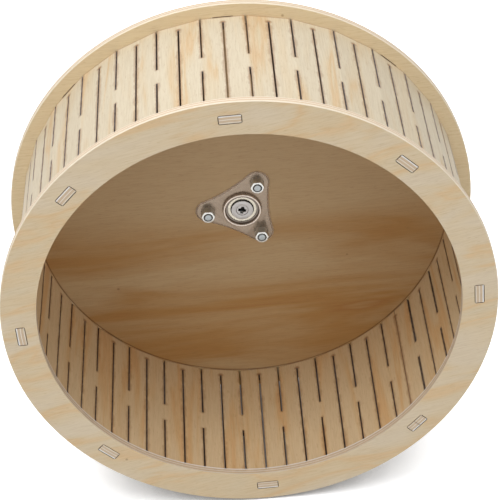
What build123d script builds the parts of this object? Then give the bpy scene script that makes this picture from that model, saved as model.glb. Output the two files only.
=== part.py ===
from build123d import *
import os
from math import atan2, cos, degrees, radians, sin, tan

# Rodent exercise wheel: a plywood drum with a solid back, turning on a ball bearing.
# All sizes are millimetres. The spin axis is Y and +Z is up. The origin lies on the spin axis
# in the plane of the wall or stand that carries the wheel. The open side faces -Y.
# A height is a distance in front of that plane, towards the open side, and every piece is
# drawn on planes square to the axis, where an angle turns from +X towards +Z seen from the front.

# Plywood drum
wheel_radius = 150.0
ply = 5.0  # one sheet thickness for ring, strip and disc
rim = 9.0  # ring and disc stand this far out from the strip
ring_width = 21.7
running_width = 110.5  # clear width between ring and disc
sanding = 0.5  # bevel on the outer edges of ring and disc

# Through-tabs of the strip in their mortises
tab_count = 8
tab_width = 12.8
tab_angle = 1.96  # first tab
tab_gap = 0.5  # round the tab, in the mortise
mortise_corner = 1.2
seam_tab = 7  # the tab that the strip's two ends share
seam_gap = 0.3

# Slots that let the strip bend
flats_per_tab = 4
slot = 1.1
wide_slot = 1.9  # the bend springs open beside the seam
wide_slots = 2
slot_margin = 6.5  # solid wood between a long slot and the strip's edge
bridge = 16.0  # solid wood between the two short slots of a pair

# Stand-off between wall and wheel
stand_off = 14.0

# Ball bearing, 22 x 8 x 7
bearing_radius = 11.0
bore_radius = 4.0
bearing_width = 7.0
ball_radius = 1.9845
ball_pitch_radius = 7.5
ball_count = 7
ball_play = 0.02
ball_sides = 8  # a ball and its grooves are turned from this many straight cuts
groove_ratio = 1.04  # groove radius over ball radius
inner_race_radius = 6.05
outer_race_inside = 8.9
race_edge = 0.3
shield_radius = 9.45
shield_hole_radius = 7.6
shield_thickness = 0.3
shield_recess = 0.4
cage_wall = 1.9
cage_back = 2.5
cage_front = 1.2
pocket_play = 0.1

# Cup that holds the bearing
cup_wall = 1.5
cup_lip = 3.6  # above the face of the disc
bearing_proud = 1.9  # bearing above the face of the disc
cup_shoulder = 1.5  # inward step behind the bearing
cup_floor = 1.0
cup_edge = 0.35

# Pressed plate with three lobes
bolt_circle_radius = 22.4
lobe_radius = 8.1
waist_radius = 17.5  # centre to the hollow of each side
plate_thickness = 1.5
plate_edge = 0.9  # bevel round the front
first_bolt_angle = 61.8
bolt_count = 3

# M5 clamp bolts, washers and lock nuts
bolt_radius = 2.5
bolt_play = 0.15
bolt_head_radius = 4.75
bolt_head_height = 3.7
bolt_head_slope = 1.3
bolt_tip = 0.4  # out of the nut
bolt_washer_radius = 5.0
bolt_washer_thickness = 1.0
nut_width = 8.0  # across flats
nut_height = 6.3
nut_hex_height = 4.4
nut_collar_radius = 3.6
nut_collar_edge = 0.5
nut_chamfer = 30.0  # of the hexagon's corners
nut_mouth_radius = 2.95  # crimped over the insert
insert_radius = 3.1
insert_depth = 1.9
insert_below = 0.4
recess_span = 5.0
recess_arm = 1.1
recess_depth = 2.2
recess_draft = 8.0

# Fixed axle
axle_shoulder_radius = 5.75
axle_end_gap = 0.2  # so that the washer bears on the race alone
axle_hex = 13.0  # across flats
axle_hex_height = 6.0
pilot_radius = 4.5  # short plain collar that centres the wall washer
stud_radius = 4.0
stud_length = 22.0
stud_chamfer = 1.0
wall_washer_radius = 12.0
wall_washer_thickness = 2.0
wall_washer_play = 0.2

# M4 countersunk screw and the washer under it
washer_radius = 7.1
washer_thickness = 1.0
screw_radius = 2.0
screw_head_radius = 4.0
screw_head_below = 0.3
screw_length = 14.0
tap_spare = 3.0
screw_recess_span = 4.4
screw_recess_arm = 0.9
screw_recess_depth = 1.6

# Heights worked out from the sizes above
disc_back = stand_off
disc_face = disc_back + ply
ring_back = disc_face + running_width
strip_middle = disc_face + running_width / 2
bearing_front = disc_face + bearing_proud
bearing_back = bearing_front - bearing_width
bearing_middle = bearing_front - bearing_width / 2
plate_face = disc_face + plate_thickness
nut_face = plate_face + nut_height
bolt_seat = disc_back - bolt_washer_thickness
washer_face = bearing_front + washer_thickness
screw_face = washer_face - screw_head_below
screw_head_height = screw_head_radius - screw_radius  # ninety degree countersink

# Radii and angles worked out from the sizes above
strip_outer = wheel_radius - rim
strip_inner = strip_outer - ply
strip_mid = strip_outer - ply / 2
flats = tab_count * flats_per_tab
flat_angle = 360 / flats
seam_angle = tab_angle + seam_tab * 360 / tab_count
cup_radius = bearing_radius + cup_wall

closeness = 0.01  # two radii this near are the same edge

face = Plane.XZ


def keep(piece, label):
    """Name a finished piece and write it to its own file."""
    piece.part.label = label
    export_step(piece.part, f"parts/{label}.step")


def bolt_plane(number, height):
    """Plane square to the axis at one clamp bolt, facing the open side."""
    angle = radians(first_bolt_angle + number * 360 / bolt_count)
    spot = (bolt_circle_radius * cos(angle), -height, bolt_circle_radius * sin(angle))
    return Plane(origin=spot, x_dir=(1, 0, 0), z_dir=(0, -1, 0))


def cut_cross(plane, span, arm, depth):
    """Cut a tapering cross recess down from a screw's face."""
    with BuildSketch(plane) as cross:
        Rectangle(span, arm)
        Rectangle(arm, span)
    extrude(cross.sketch, amount=-depth, taper=recess_draft, mode=Mode.SUBTRACT)


def mortises():
    """Cut the mortises out of the sketch of the ring or the disc."""
    with PolarLocations(strip_mid, tab_count, start_angle=tab_angle):
        RectangleRounded(
            ply + 2 * tab_gap,
            tab_width + 2 * tab_gap,
            mortise_corner,
            mode=Mode.SUBTRACT,
        )


def circles(piece, radius):
    """Round edges of a piece that have this radius."""
    rounds = piece.edges().filter_by(GeomType.CIRCLE)
    return rounds.filter_by(lambda edge: abs(edge.radius - radius) < closeness)


def screw_cone(mode):
    """The countersunk head of the axle screw, from its shank up to its face."""
    Cone(
        screw_radius,
        screw_head_radius,
        screw_head_height,
        align=(Align.CENTER, Align.CENTER, Align.MIN),
        mode=mode,
    )


os.makedirs("parts", exist_ok=True)

# Front ring
with BuildPart() as front_ring:
    with BuildSketch(face.offset(ring_back)):
        Circle(wheel_radius)
        Circle(wheel_radius - ring_width, mode=Mode.SUBTRACT)
        mortises()
    extrude(amount=ply)
    chamfer(circles(front_ring, wheel_radius), length=sanding)
keep(front_ring, "front_ring")

# Back disc, bored for the cup and the clamp bolts
with BuildPart() as back_disc:
    with BuildSketch(face.offset(disc_back)):
        Circle(wheel_radius)
        Circle(cup_radius, mode=Mode.SUBTRACT)
        with PolarLocations(bolt_circle_radius, bolt_count, start_angle=first_bolt_angle):
            Circle(bolt_radius + bolt_play, mode=Mode.SUBTRACT)
        mortises()
    extrude(amount=ply)
    chamfer(circles(back_disc, wheel_radius), length=sanding)
keep(back_disc, "back_disc")

# Running strip: flats that meet at the short slots, with a tab on every fourth flat.
# Long slots run down the middle of the flats, except where the two ends meet.
cut_depth = 3 * ply
long_slot = running_width - 2 * slot_margin
short_slot = (running_width - bridge) / 2
short_slot_middle = (bridge + short_slot) / 2
with BuildPart(face.offset(strip_middle)) as running_strip:
    with BuildSketch(face.offset(strip_middle)):
        RegularPolygon(
            strip_outer, flats, major_radius=False, rotation=tab_angle + flat_angle / 2
        )
        RegularPolygon(
            strip_inner,
            flats,
            major_radius=False,
            rotation=tab_angle + flat_angle / 2,
            mode=Mode.SUBTRACT,
        )
    extrude(amount=running_width / 2, both=True)
    with PolarLocations(strip_mid, tab_count, start_angle=tab_angle):
        Box(ply, tab_width, running_width + 2 * ply)
    with PolarLocations(
        strip_mid,
        flats - 1,
        start_angle=seam_angle + flat_angle,
        angular_range=360 - flat_angle,
    ):
        Box(cut_depth, slot, long_slot, mode=Mode.SUBTRACT)
    for side in (-1, 1):
        with Locations((0, 0, side * short_slot_middle)):
            with PolarLocations(
                strip_mid, flats, start_angle=seam_angle + flat_angle / 2
            ):
                Box(cut_depth, slot, short_slot, mode=Mode.SUBTRACT)
            with PolarLocations(
                strip_mid,
                wide_slots,
                start_angle=seam_angle + flat_angle / 2,
                angular_range=wide_slots * flat_angle,
            ):
                Box(cut_depth, wide_slot, short_slot, mode=Mode.SUBTRACT)
    with PolarLocations(strip_mid, 1, start_angle=seam_angle):
        Box(cut_depth, seam_gap, running_width + 3 * ply, mode=Mode.SUBTRACT)
keep(running_strip, "running_strip")

# Flange plate: three round lobes joined by shallow hollows, each arc tangent to the next.
# Where the waist is wider than the lobes, the same sums give a bulge in place of a hollow.
half_step = 180 / bolt_count
lobe_chord = bolt_circle_radius * cos(radians(half_step))
hollow_radius = (
    bolt_circle_radius**2 + waist_radius**2 - 2 * waist_radius * lobe_chord - lobe_radius**2
) / (2 * (lobe_radius + lobe_chord - waist_radius))
hollow_reach = waist_radius + hollow_radius
lean = degrees(
    atan2(
        hollow_radius * hollow_reach * sin(radians(half_step)),
        hollow_radius * (hollow_reach * cos(radians(half_step)) - bolt_circle_radius),
    )
)


def polar(radius, angle):
    """Point at this distance and angle from the spin axis."""
    return Vector(radius, 0).rotate(Axis.Z, angle)


def lobe_point(number, offset):
    """Point on the edge of one lobe, turned by an offset from the lobe's outermost point."""
    turn = first_bolt_angle + number * 2 * half_step
    return polar(bolt_circle_radius, turn) + polar(lobe_radius, turn + offset)


with BuildPart() as flange_plate:
    with BuildSketch(face.offset(disc_face)):
        with BuildLine():
            for number in range(bolt_count):
                waist_angle = first_bolt_angle + (2 * number + 1) * half_step
                start = lobe_point(number, -lean)
                middle = lobe_point(number, lean)
                end = lobe_point(number + 1, -lean)
                ThreePointArc(start, lobe_point(number, 0), middle)
                ThreePointArc(middle, polar(waist_radius, waist_angle), end)
        make_face()
        Circle(cup_radius, mode=Mode.SUBTRACT)
        with PolarLocations(bolt_circle_radius, bolt_count, start_angle=first_bolt_angle):
            Circle(bolt_radius + bolt_play, mode=Mode.SUBTRACT)
    extrude(amount=plate_thickness)
    front_face = flange_plate.faces().filter_by(Axis.Y).sort_by(Axis.Y)[0]
    chamfer(front_face.outer_wire().edges(), length=plate_edge)
keep(flange_plate, "flange_plate")

# Bearing cup, pressed through plate and disc, with a floor behind the bearing
with BuildPart() as bearing_cup:
    with BuildSketch(face.offset(bearing_back - cup_floor)):
        Circle(cup_radius)
        Circle(bearing_radius - cup_shoulder, mode=Mode.SUBTRACT)
    extrude(amount=cup_floor)
    with BuildSketch(face.offset(bearing_back)):
        Circle(cup_radius)
        Circle(bearing_radius, mode=Mode.SUBTRACT)
    extrude(amount=disc_face + cup_lip - bearing_back)
    lip = bearing_cup.faces().filter_by(Axis.Y).sort_by(Axis.Y)[0]
    chamfer(lip.edges(), length=cup_edge)
keep(bearing_cup, "bearing_cup")

# Bearing races, turned round the spin axis, each with a groove for the balls
groove_radius = ball_radius * groove_ratio
groove_shift = ball_radius + ball_play - groove_radius


def ball_groove():
    """Cut the ball groove out of the sketch of a race, with flats that clear the ball."""
    RegularPolygon(
        groove_radius, ball_sides, major_radius=False, rotation=180 / ball_sides, mode=Mode.SUBTRACT
    )


with BuildPart() as bearing_outer_race:
    with BuildSketch(Plane.XY):
        with Locations((outer_race_inside, -bearing_front)):
            Rectangle(
                bearing_radius - outer_race_inside,
                bearing_width,
                align=(Align.MIN, Align.MIN),
            )
        for seat, side in ((-bearing_front, Align.MIN), (-bearing_back, Align.MAX)):
            with Locations((outer_race_inside, seat)):
                Rectangle(
                    shield_radius - outer_race_inside,
                    shield_recess + shield_thickness,
                    align=(Align.MIN, side),
                    mode=Mode.SUBTRACT,
                )
        with Locations((ball_pitch_radius + groove_shift, -bearing_middle)):
            ball_groove()
    revolve(axis=Axis.Y)
    chamfer(circles(bearing_outer_race, bearing_radius), length=race_edge)
keep(bearing_outer_race, "bearing_outer_race")

with BuildPart() as bearing_inner_race:
    with BuildSketch(Plane.XY):
        with Locations((bore_radius, -bearing_front)):
            Rectangle(
                inner_race_radius - bore_radius,
                bearing_width,
                align=(Align.MIN, Align.MIN),
            )
        with Locations((ball_pitch_radius - groove_shift, -bearing_middle)):
            ball_groove()
    revolve(axis=Axis.Y)
    chamfer(circles(bearing_inner_race, bore_radius), length=race_edge)
keep(bearing_inner_race, "bearing_inner_race")

# Balls, and the snap-in cage that spaces them
with BuildPart() as ball:
    with BuildSketch(Plane.XY):
        RegularPolygon(ball_radius, ball_sides)
        with Locations((-ball_radius, 0)):
            Rectangle(2 * ball_radius, 2 * ball_radius, mode=Mode.SUBTRACT)
    revolve(axis=Axis.Y)

with BuildPart(face.offset(bearing_middle)) as bearing_balls:
    with PolarLocations(ball_pitch_radius, ball_count):
        add(ball.part)
keep(bearing_balls, "bearing_balls")

with BuildPart(face.offset(bearing_middle)) as bearing_cage:
    with BuildSketch(face.offset(bearing_middle - cage_back)):
        Circle(ball_pitch_radius + cage_wall / 2)
        Circle(ball_pitch_radius - cage_wall / 2, mode=Mode.SUBTRACT)
    extrude(amount=cage_back + cage_front)
    with PolarLocations(ball_pitch_radius, ball_count):
        Cylinder(
            ball_radius + pocket_play, 2 * cage_wall, rotation=(0, 90, 0), mode=Mode.SUBTRACT
        )
keep(bearing_cage, "bearing_cage")

# Shields, set into both ends of the outer race
shield_backs = {
    "front_shield": bearing_front - shield_recess - shield_thickness,
    "rear_shield": bearing_back + shield_recess,
}
for shield_name, height in shield_backs.items():
    with BuildPart() as shield:
        with BuildSketch(face.offset(height)):
            Circle(shield_radius)
            Circle(shield_hole_radius, mode=Mode.SUBTRACT)
        extrude(amount=shield_thickness)
    keep(shield, shield_name)

# Clamp bolts, from behind, each with its washer, lock nut and nylon insert
for number in range(bolt_count):
    with BuildPart() as bolt_washer:
        with BuildSketch(bolt_plane(number, bolt_seat)):
            Circle(bolt_washer_radius)
            Circle(bolt_radius + bolt_play, mode=Mode.SUBTRACT)
        extrude(amount=bolt_washer_thickness)
    keep(bolt_washer, f"bolt_washer_{number + 1}")

    with BuildPart() as clamp_bolt:
        with BuildSketch(bolt_plane(number, bolt_seat)):
            Circle(bolt_radius)
        extrude(amount=nut_face + bolt_tip - bolt_seat)
        tip = clamp_bolt.faces().filter_by(Axis.Y).sort_by(Axis.Y)[0]
        chamfer(tip.edges(), length=bolt_tip)
        with BuildSketch(bolt_plane(number, bolt_seat)):
            Circle(bolt_head_radius)
        extrude(amount=-bolt_head_height)
        head = clamp_bolt.faces().filter_by(Axis.Y).sort_by(Axis.Y)[-1]
        chamfer(head.edges(), length=bolt_head_slope)
        head_plane = bolt_plane(number, bolt_seat - bolt_head_height)
        cut_cross(-head_plane, recess_span, recess_arm, recess_depth)
    keep(clamp_bolt, f"clamp_bolt_{number + 1}")

    with BuildPart() as lock_nut:
        with BuildSketch(bolt_plane(number, plate_face)):
            RegularPolygon(nut_width / 2, 6, major_radius=False)
        extrude(amount=nut_hex_height)
        with Locations(bolt_plane(number, plate_face)):
            Cone(
                nut_width / 2 + nut_hex_height / tan(radians(nut_chamfer)),
                nut_width / 2,
                nut_hex_height,
                align=(Align.CENTER, Align.CENTER, Align.MIN),
                mode=Mode.INTERSECT,
            )
        with BuildSketch(bolt_plane(number, plate_face + nut_hex_height)):
            Circle(nut_collar_radius)
        extrude(amount=nut_height - nut_hex_height)
        top = lock_nut.faces().filter_by(Axis.Y).sort_by(Axis.Y)[0]
        chamfer(top.edges(), length=nut_collar_edge)
        with BuildSketch(bolt_plane(number, plate_face)):
            Circle(bolt_radius)
        extrude(amount=nut_height, mode=Mode.SUBTRACT)
        with BuildSketch(bolt_plane(number, nut_face - insert_below)):
            Circle(insert_radius)
        extrude(amount=-insert_depth, mode=Mode.SUBTRACT)
        with BuildSketch(bolt_plane(number, nut_face)):
            Circle(nut_mouth_radius)
        extrude(amount=-insert_below, mode=Mode.SUBTRACT)
    keep(lock_nut, f"lock_nut_{number + 1}")

    with BuildPart() as nut_insert:
        with BuildSketch(bolt_plane(number, nut_face - insert_below)):
            Circle(insert_radius)
            Circle(bolt_radius, mode=Mode.SUBTRACT)
        extrude(amount=-insert_depth)
    keep(nut_insert, f"nut_insert_{number + 1}")

# Axle: stud, washer pilot, spanner flats, neck against the inner race, journal in its bore, tapped end
axle_end = bearing_front - axle_end_gap
screw_plane = face.offset(screw_face - screw_head_height)
with BuildPart() as axle:
    with BuildSketch(face.offset(-stud_length)):
        Circle(stud_radius)
    extrude(amount=stud_length)
    stud_end = axle.faces().filter_by(Axis.Y).sort_by(Axis.Y)[-1]
    chamfer(stud_end.edges(), length=stud_chamfer)
    with BuildSketch(face):
        Circle(pilot_radius)
    extrude(amount=wall_washer_thickness)
    with BuildSketch(face.offset(wall_washer_thickness)):
        RegularPolygon(axle_hex / 2, 6, major_radius=False)
    extrude(amount=axle_hex_height)
    with BuildSketch(face.offset(wall_washer_thickness + axle_hex_height)):
        Circle(axle_shoulder_radius)
    extrude(amount=bearing_back - wall_washer_thickness - axle_hex_height)
    with BuildSketch(face.offset(bearing_back)):
        Circle(bore_radius)
    extrude(amount=axle_end - bearing_back)
    with BuildSketch(face.offset(axle_end)):
        Circle(screw_radius)
    extrude(amount=-screw_length - tap_spare, mode=Mode.SUBTRACT)
    with Locations(screw_plane):
        screw_cone(Mode.SUBTRACT)
keep(axle, "axle")

with BuildPart() as wall_washer:
    with BuildSketch(face):
        Circle(wall_washer_radius)
        Circle(pilot_radius + wall_washer_play, mode=Mode.SUBTRACT)
    extrude(amount=wall_washer_thickness)
keep(wall_washer, "wall_washer")

# Washer over the inner race, countersunk for the screw that holds the wheel on
with BuildPart() as retaining_washer:
    with BuildSketch(face.offset(bearing_front)):
        Circle(washer_radius)
    extrude(amount=washer_thickness)
    with BuildSketch(face.offset(screw_face)):
        Circle(screw_head_radius)
    extrude(amount=screw_head_below, mode=Mode.SUBTRACT)
    with Locations(screw_plane):
        screw_cone(Mode.SUBTRACT)
keep(retaining_washer, "retaining_washer")

with BuildPart() as axle_screw:
    with BuildSketch(screw_plane):
        Circle(screw_radius)
    extrude(amount=screw_head_height - screw_length)
    with Locations(screw_plane):
        screw_cone(Mode.ADD)
    cut_cross(
        face.offset(screw_face), screw_recess_span, screw_recess_arm, screw_recess_depth
    )
keep(axle_screw, "axle_screw")
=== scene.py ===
# %% [markdown]
# # A rodent exercise wheel
# The real object is a plywood drum, 300 mm across, that a small animal runs in. A flat ring frames
# its open side, a full disc closes its back, and one ball bearing in a steel cup carries it.
# The shapes come packed from the CAD model. This lesson loads them, adds the pieces that need
# finer modelling, gives everything its wood and steel, and lights it like a studio photograph.

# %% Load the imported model
from math import pi, radians

import bpy
from mathutils import Matrix, Vector


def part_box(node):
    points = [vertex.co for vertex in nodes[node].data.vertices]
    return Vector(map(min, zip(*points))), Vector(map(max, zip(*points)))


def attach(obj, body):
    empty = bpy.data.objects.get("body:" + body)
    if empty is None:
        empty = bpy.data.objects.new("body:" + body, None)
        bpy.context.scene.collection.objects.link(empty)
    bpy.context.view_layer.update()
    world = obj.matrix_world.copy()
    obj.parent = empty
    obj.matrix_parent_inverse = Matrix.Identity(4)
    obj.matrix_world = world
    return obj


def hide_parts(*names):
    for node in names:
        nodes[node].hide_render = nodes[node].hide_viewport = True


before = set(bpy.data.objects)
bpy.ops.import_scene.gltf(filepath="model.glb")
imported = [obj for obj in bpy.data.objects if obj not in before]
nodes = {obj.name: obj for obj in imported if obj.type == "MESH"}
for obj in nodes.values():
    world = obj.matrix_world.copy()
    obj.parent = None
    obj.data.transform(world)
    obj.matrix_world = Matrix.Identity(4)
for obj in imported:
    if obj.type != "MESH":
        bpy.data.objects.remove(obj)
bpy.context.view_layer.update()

bpy.ops.object.select_all(action="DESELECT")
mm = 0.001

# %% [markdown]
# ## Sizes read from the frame
# The wheel spins about Y, the wall that carries it is the plane Y = 0, and the open side faces -Y.
# Each piece's box gives the sizes that the patterns and the new pieces need, so that nothing is
# typed twice.

# %% Sizes of the plywood and the hub
ring_low, ring_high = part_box("front_ring")
disc_low, disc_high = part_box("back_disc")
strip_low, strip_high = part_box("running_strip")
ply = ring_high.y - ring_low.y
wheel_radius = ring_high.x
disc_face = disc_low.y
ring_back = ring_high.y
rim = 9 * mm  # ring and disc stand this far out from the strip
strip_outer = wheel_radius - rim
strip_inner = strip_outer - ply
flats = 32
tab_angle = radians(1.96)  # the first tab, from +X towards +Z
flat_angle = 2 * pi / flats
flats_to_seam = 28
seam_angle = tab_angle + flats_to_seam * flat_angle
flat_arc = flat_angle * (strip_inner + ply / 2)
print("ply mm:", round(ply / mm, 2), "drum radius mm:", round(strip_outer / mm, 2))
print("disc rear at mm:", round(disc_high.y / mm, 1))
print("strip with tabs mm:", round((strip_high.y - strip_low.y) / mm, 1))

# %% [markdown]
# ## Camera
# The photograph looks down on the wheel with a long lens, from in front and well above.
# The place, the three turns and the lens were fitted to the ring's circles and the eight tabs.

# %% Camera
camera_place = (-0.00848, -1.01323, 0.67554)
camera_turn = (54.436, 2.743, -2.653)
camera_lens = 132.48
sensor_width = 36

bpy.ops.object.camera_add(location=camera_place, rotation=[radians(a) for a in camera_turn])
camera = bpy.context.object
camera.name = "photo_camera"
camera.data.sensor_width = sensor_width
camera.data.lens = camera_lens
bpy.context.scene.camera = camera
print("camera at", camera_place, "lens", camera_lens)

# %% [markdown]
# ## Helpers for materials
# Colours are written as sRGB hex values, as a paint chart gives them, and turned to linear light.
# One function adds a node, sets it up and links it, so that each material reads from top to bottom.

# %% Colour and node helpers
def hex_colour(code):
    """Turn an sRGB hex colour into linear red, green, blue and alpha."""
    channels = [int(code[i : i + 2], 16) / 255 for i in (0, 2, 4)]
    linear = [c / 12.92 if c <= 0.04045 else ((c + 0.055) / 1.055) ** 2.4 for c in channels]
    return linear + [1.0]


def add(tree, kind, inputs=None, stops=None, **settings):
    """Add a node, set it up, and fill or link its inputs. Stops are a ramp's places and colours."""
    node = tree.nodes.new("ShaderNode" + kind)
    for name, value in settings.items():
        setattr(node, name, value)
    for place, code in stops or []:
        element = node.color_ramp.elements.new(place)
        element.color = hex_colour(code)
    if stops:
        node.color_ramp.elements.remove(node.color_ramp.elements[0])
        node.color_ramp.elements.remove(node.color_ramp.elements[-1])
    for socket, value in (inputs or {}).items():
        if isinstance(value, bpy.types.NodeSocket):
            tree.links.new(value, node.inputs[socket])
        else:
            node.inputs[socket].default_value = value
    return node


def new_material(name):
    """Make an empty node material and return it with its tree."""
    material = bpy.data.materials.new(name)
    material.use_nodes = True
    material.node_tree.nodes.clear()
    return material, material.node_tree


def finish_surface(tree, inputs):
    """Close a material with its shader and output."""
    shader = add(tree, "BsdfPrincipled", inputs)
    add(tree, "OutputMaterial", {"Surface": shader.outputs[0]})


def dress(node_name, material):
    """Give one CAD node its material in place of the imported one."""
    slots = nodes[node_name].material_slots
    for slot in slots:
        slot.material = material
    print(node_name, "->", material.name)


print("colour check, mid grey:", round(hex_colour("808080")[0], 3))

# %% [markdown]
# ## Plywood
# The sheets are 5 mm birch plywood: five veneers, each peeled from a turning log. Peeling gives
# broad, wavy figure along the grain, warm where it meets the growth rings, with fine pores in it.
# Fibres are a few tenths of a millimetre wide, and are drawn 0.7 mm wide so that they show.

# %% Veneer face
def veneer(tree, place, band, reach, tones, calm=1.0):
    """Colour and height of a veneer's face. In place, X runs along the grain and Z across it.

    Calm is how much of the figure shows, from 0 to 1.
    """
    drift = add(
        tree, "Mapping", {"Vector": place, "Scale": (1 / reach, 1 / (20 * mm), 1 / band)}
    )
    figure = add(
        tree,
        "TexNoise",
        {
            "Vector": drift.outputs[0],
            "Scale": 1.0,
            "Detail": 3.0,
            "Roughness": 0.5,
            "Distortion": 0.6,
        },
    )
    shown = add(
        tree, "Mix", {0: calm, 2: 0.3, 3: figure.outputs[0]}, data_type="FLOAT"
    )
    broad = add(tree, "ValToRGB", {"Fac": shown.outputs[0]}, stops=tones)
    fibre_place = add(
        tree,
        "Mapping",
        {"Vector": place, "Scale": (1 / (14 * mm), 1 / (5 * mm), 1 / (0.7 * mm))},
    )
    fibre = add(
        tree,
        "TexNoise",
        {"Vector": fibre_place.outputs[0], "Scale": 1.0, "Detail": 4.0, "Roughness": 0.6},
    )
    fibre_tone = add(
        tree,
        "ValToRGB",
        {"Fac": fibre.outputs[0]},
        stops=[(0.3, "EFEAE4"), (0.5, "F9F7F4"), (0.75, "FFFFFF")],
    )
    fibred = add(
        tree,
        "Mix",
        {0: 1.0, 6: broad.outputs[0], 7: fibre_tone.outputs[0]},
        data_type="RGBA",
        blend_type="MULTIPLY",
    )
    pore_place = add(
        tree,
        "Mapping",
        {"Vector": place, "Scale": (1 / (5 * mm), 1 / (5 * mm), 1 / (0.5 * mm))},
    )
    pores = add(tree, "TexNoise", {"Vector": pore_place.outputs[0], "Scale": 1.0, "Detail": 1.0})
    pore_mask = add(
        tree,
        "MapRange",
        {0: pores.outputs[0], 1: 0.64, 2: 0.74, 3: 0.0, 4: 0.3},
    )
    pored = add(
        tree,
        "Mix",
        {0: pore_mask.outputs[0], 6: fibred.outputs[2], 7: hex_colour("A5855A")},
        data_type="RGBA",
    )
    speck_cells = add(tree, "TexVoronoi", {"Vector": place, "Scale": 1 / (34 * mm)})
    speck_mask = add(
        tree,
        "MapRange",
        {0: speck_cells.outputs["Distance"], 1: 0.018, 2: 0.035, 3: 0.55, 4: 0.0},
    )
    specked = add(
        tree,
        "Mix",
        {0: speck_mask.outputs[0], 6: pored.outputs[2], 7: hex_colour("8A6A48")},
        data_type="RGBA",
    )
    height = add(
        tree, "Math", {0: fibre.outputs[0], 1: pore_mask.outputs[0]}, operation="SUBTRACT"
    )
    return specked.outputs[2], height.outputs[0]


# %% [markdown]
# On the cut edges the veneers show as bands, every second one darker because it is end grain.
# The outline was cut by laser, which scorches the walls of slots and mortises dark brown. The
# scorch is how much of that brown covers the bands.

# %% Veneers seen on a cut edge
def cut_edge(tree, depth, place, scorch):
    """Colour of a laser-cut edge. Depth runs from 0 to 1 through the sheet."""
    wobble = add(tree, "TexNoise", {"Vector": place, "Scale": 1 / (6 * mm), "Detail": 2.0})
    shift = add(
        tree, "MapRange", {0: wobble.outputs[0], 1: 0.0, 2: 1.0, 3: -0.03, 4: 0.03}
    )
    layer = add(tree, "Math", {0: depth, 1: shift.outputs[0]}, operation="ADD")
    bands = add(
        tree,
        "ValToRGB",
        {"Fac": layer.outputs[0]},
        stops=[
            (0.0, "E9DCC6"),
            (0.18, "E6D8C0"),
            (0.2, "B0906F"),
            (0.23, "D9C0A2"),
            (0.38, "D6BB9C"),
            (0.4, "AB8A69"),
            (0.43, "E9DCC6"),
            (0.58, "E9DCC6"),
            (0.6, "AB8A69"),
            (0.63, "D6BB9C"),
            (0.78, "D9C0A2"),
            (0.8, "B0906F"),
            (0.83, "E6D8C0"),
            (1.0, "E9DCC6"),
        ],
    )
    soot = add(tree, "TexNoise", {"Vector": place, "Scale": 1 / (3 * mm), "Detail": 3.0})
    burnt = add(
        tree,
        "MapRange",
        {0: soot.outputs[0], 1: 0.3, 2: 0.7, 3: 0.75 * scorch, 4: scorch},
    )
    edge = add(
        tree,
        "Mix",
        {0: burnt.outputs[0], 6: bands.outputs[0], 7: hex_colour("3E2412")},
        data_type="RGBA",
    )
    return edge.outputs[2]


# %% [markdown]
# ## Ring and disc
# The ring and the disc lie flat across the spin axis, so their faces are where the normal points
# along Y and everything else on them is a cut edge. The mortise walls lie between the strip's two
# radii and are scorched far more than the rims, which were sanded after the cut. The wall of the
# ring's opening lies in between: partly scorch, partly painted shade that darkens it.

# %% Edges of a flat sheet
rim_scorch = 0.08
# The opening's level is partly laser scorch and partly painted shade on its wall.
opening_scorch_and_shade = 0.3
mortise_scorch = 0.9
mortise_play = 2 * mm


def sheet_edge(tree, place, depth, radius, inside):
    """Colour of the rims, the opening and the mortise walls of a flat sheet."""
    rim_edge = cut_edge(tree, depth, place, rim_scorch)
    mortise_edge = cut_edge(tree, depth, place, mortise_scorch)
    opening_edge_and_shade = cut_edge(tree, depth, place, opening_scorch_and_shade)
    past_inner = add(
        tree, "Math", {0: radius, 1: strip_inner - mortise_play}, operation="GREATER_THAN"
    )
    short_of_outer = add(
        tree, "Math", {0: radius, 1: strip_outer + mortise_play}, operation="LESS_THAN"
    )
    in_mortise = add(
        tree,
        "Math",
        {0: past_inner.outputs[0], 1: short_of_outer.outputs[0]},
        operation="MULTIPLY",
    )
    rims_and_opening = add(tree, "Mix", {0: inside, 6: rim_edge, 7: opening_edge_and_shade}, data_type="RGBA")
    edge = add(
        tree,
        "Mix",
        {0: in_mortise.outputs[0], 6: rims_and_opening.outputs[2], 7: mortise_edge},
        data_type="RGBA",
    )
    return edge.outputs[2]


# %% [markdown]
# In the photograph the inside of the drum lies deeper in shade than these soft lamps leave it, so
# the disc's inner face is a shade darker than the rest of it. Where the strip meets it, the joint
# shows as a thin brown line.

# %% Painted shade on the inner face of the disc
face_limit = 0.85  # how square to the axle a face is, as the size of its normal along Y
joint_width = 1.2 * mm
joint_full = 0.3 * mm


def paint_inner_shade_and_joint(tree, colour, facing, radius, inside):
    """Paint shade on the face inside the drum and draw the joint line round it."""
    front = add(tree, "Math", {0: facing, 1: -face_limit}, operation="LESS_THAN")
    inner = add(tree, "Math", {0: front.outputs[0], 1: inside}, operation="MULTIPLY")
    shade = add(
        tree,
        "Mix",
        {0: inner.outputs[0], 6: colour, 7: hex_colour("E3D6C8")},
        data_type="RGBA",
        blend_type="MULTIPLY",
    )
    joint_line = add(
        tree,
        "MapRange",
        {0: radius, 1: strip_inner - joint_width, 2: strip_inner - joint_full, 3: 0.0, 4: 0.8},
    )
    line_here = add(
        tree, "Math", {0: joint_line.outputs[0], 1: inner.outputs[0]}, operation="MULTIPLY"
    )
    lined = add(
        tree,
        "Mix",
        {0: line_here.outputs[0], 6: shade.outputs[2], 7: hex_colour("6B4423")},
        data_type="RGBA",
    )
    return lined.outputs[2]


# %% [markdown]
# Both sheets now get their wood. The grain of each runs nearly level in the photograph, turned a
# few degrees, and the disc's figure lies mostly in its lower half. Bare sanded birch is nearly
# matt: its IOR is that of most organic matter, 1.5, and its roughness about 0.6.

# %% Plywood of the ring and the disc
figure_low = -45 * mm
figure_high = 5 * mm
pore_depth = 0.2 * mm


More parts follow.
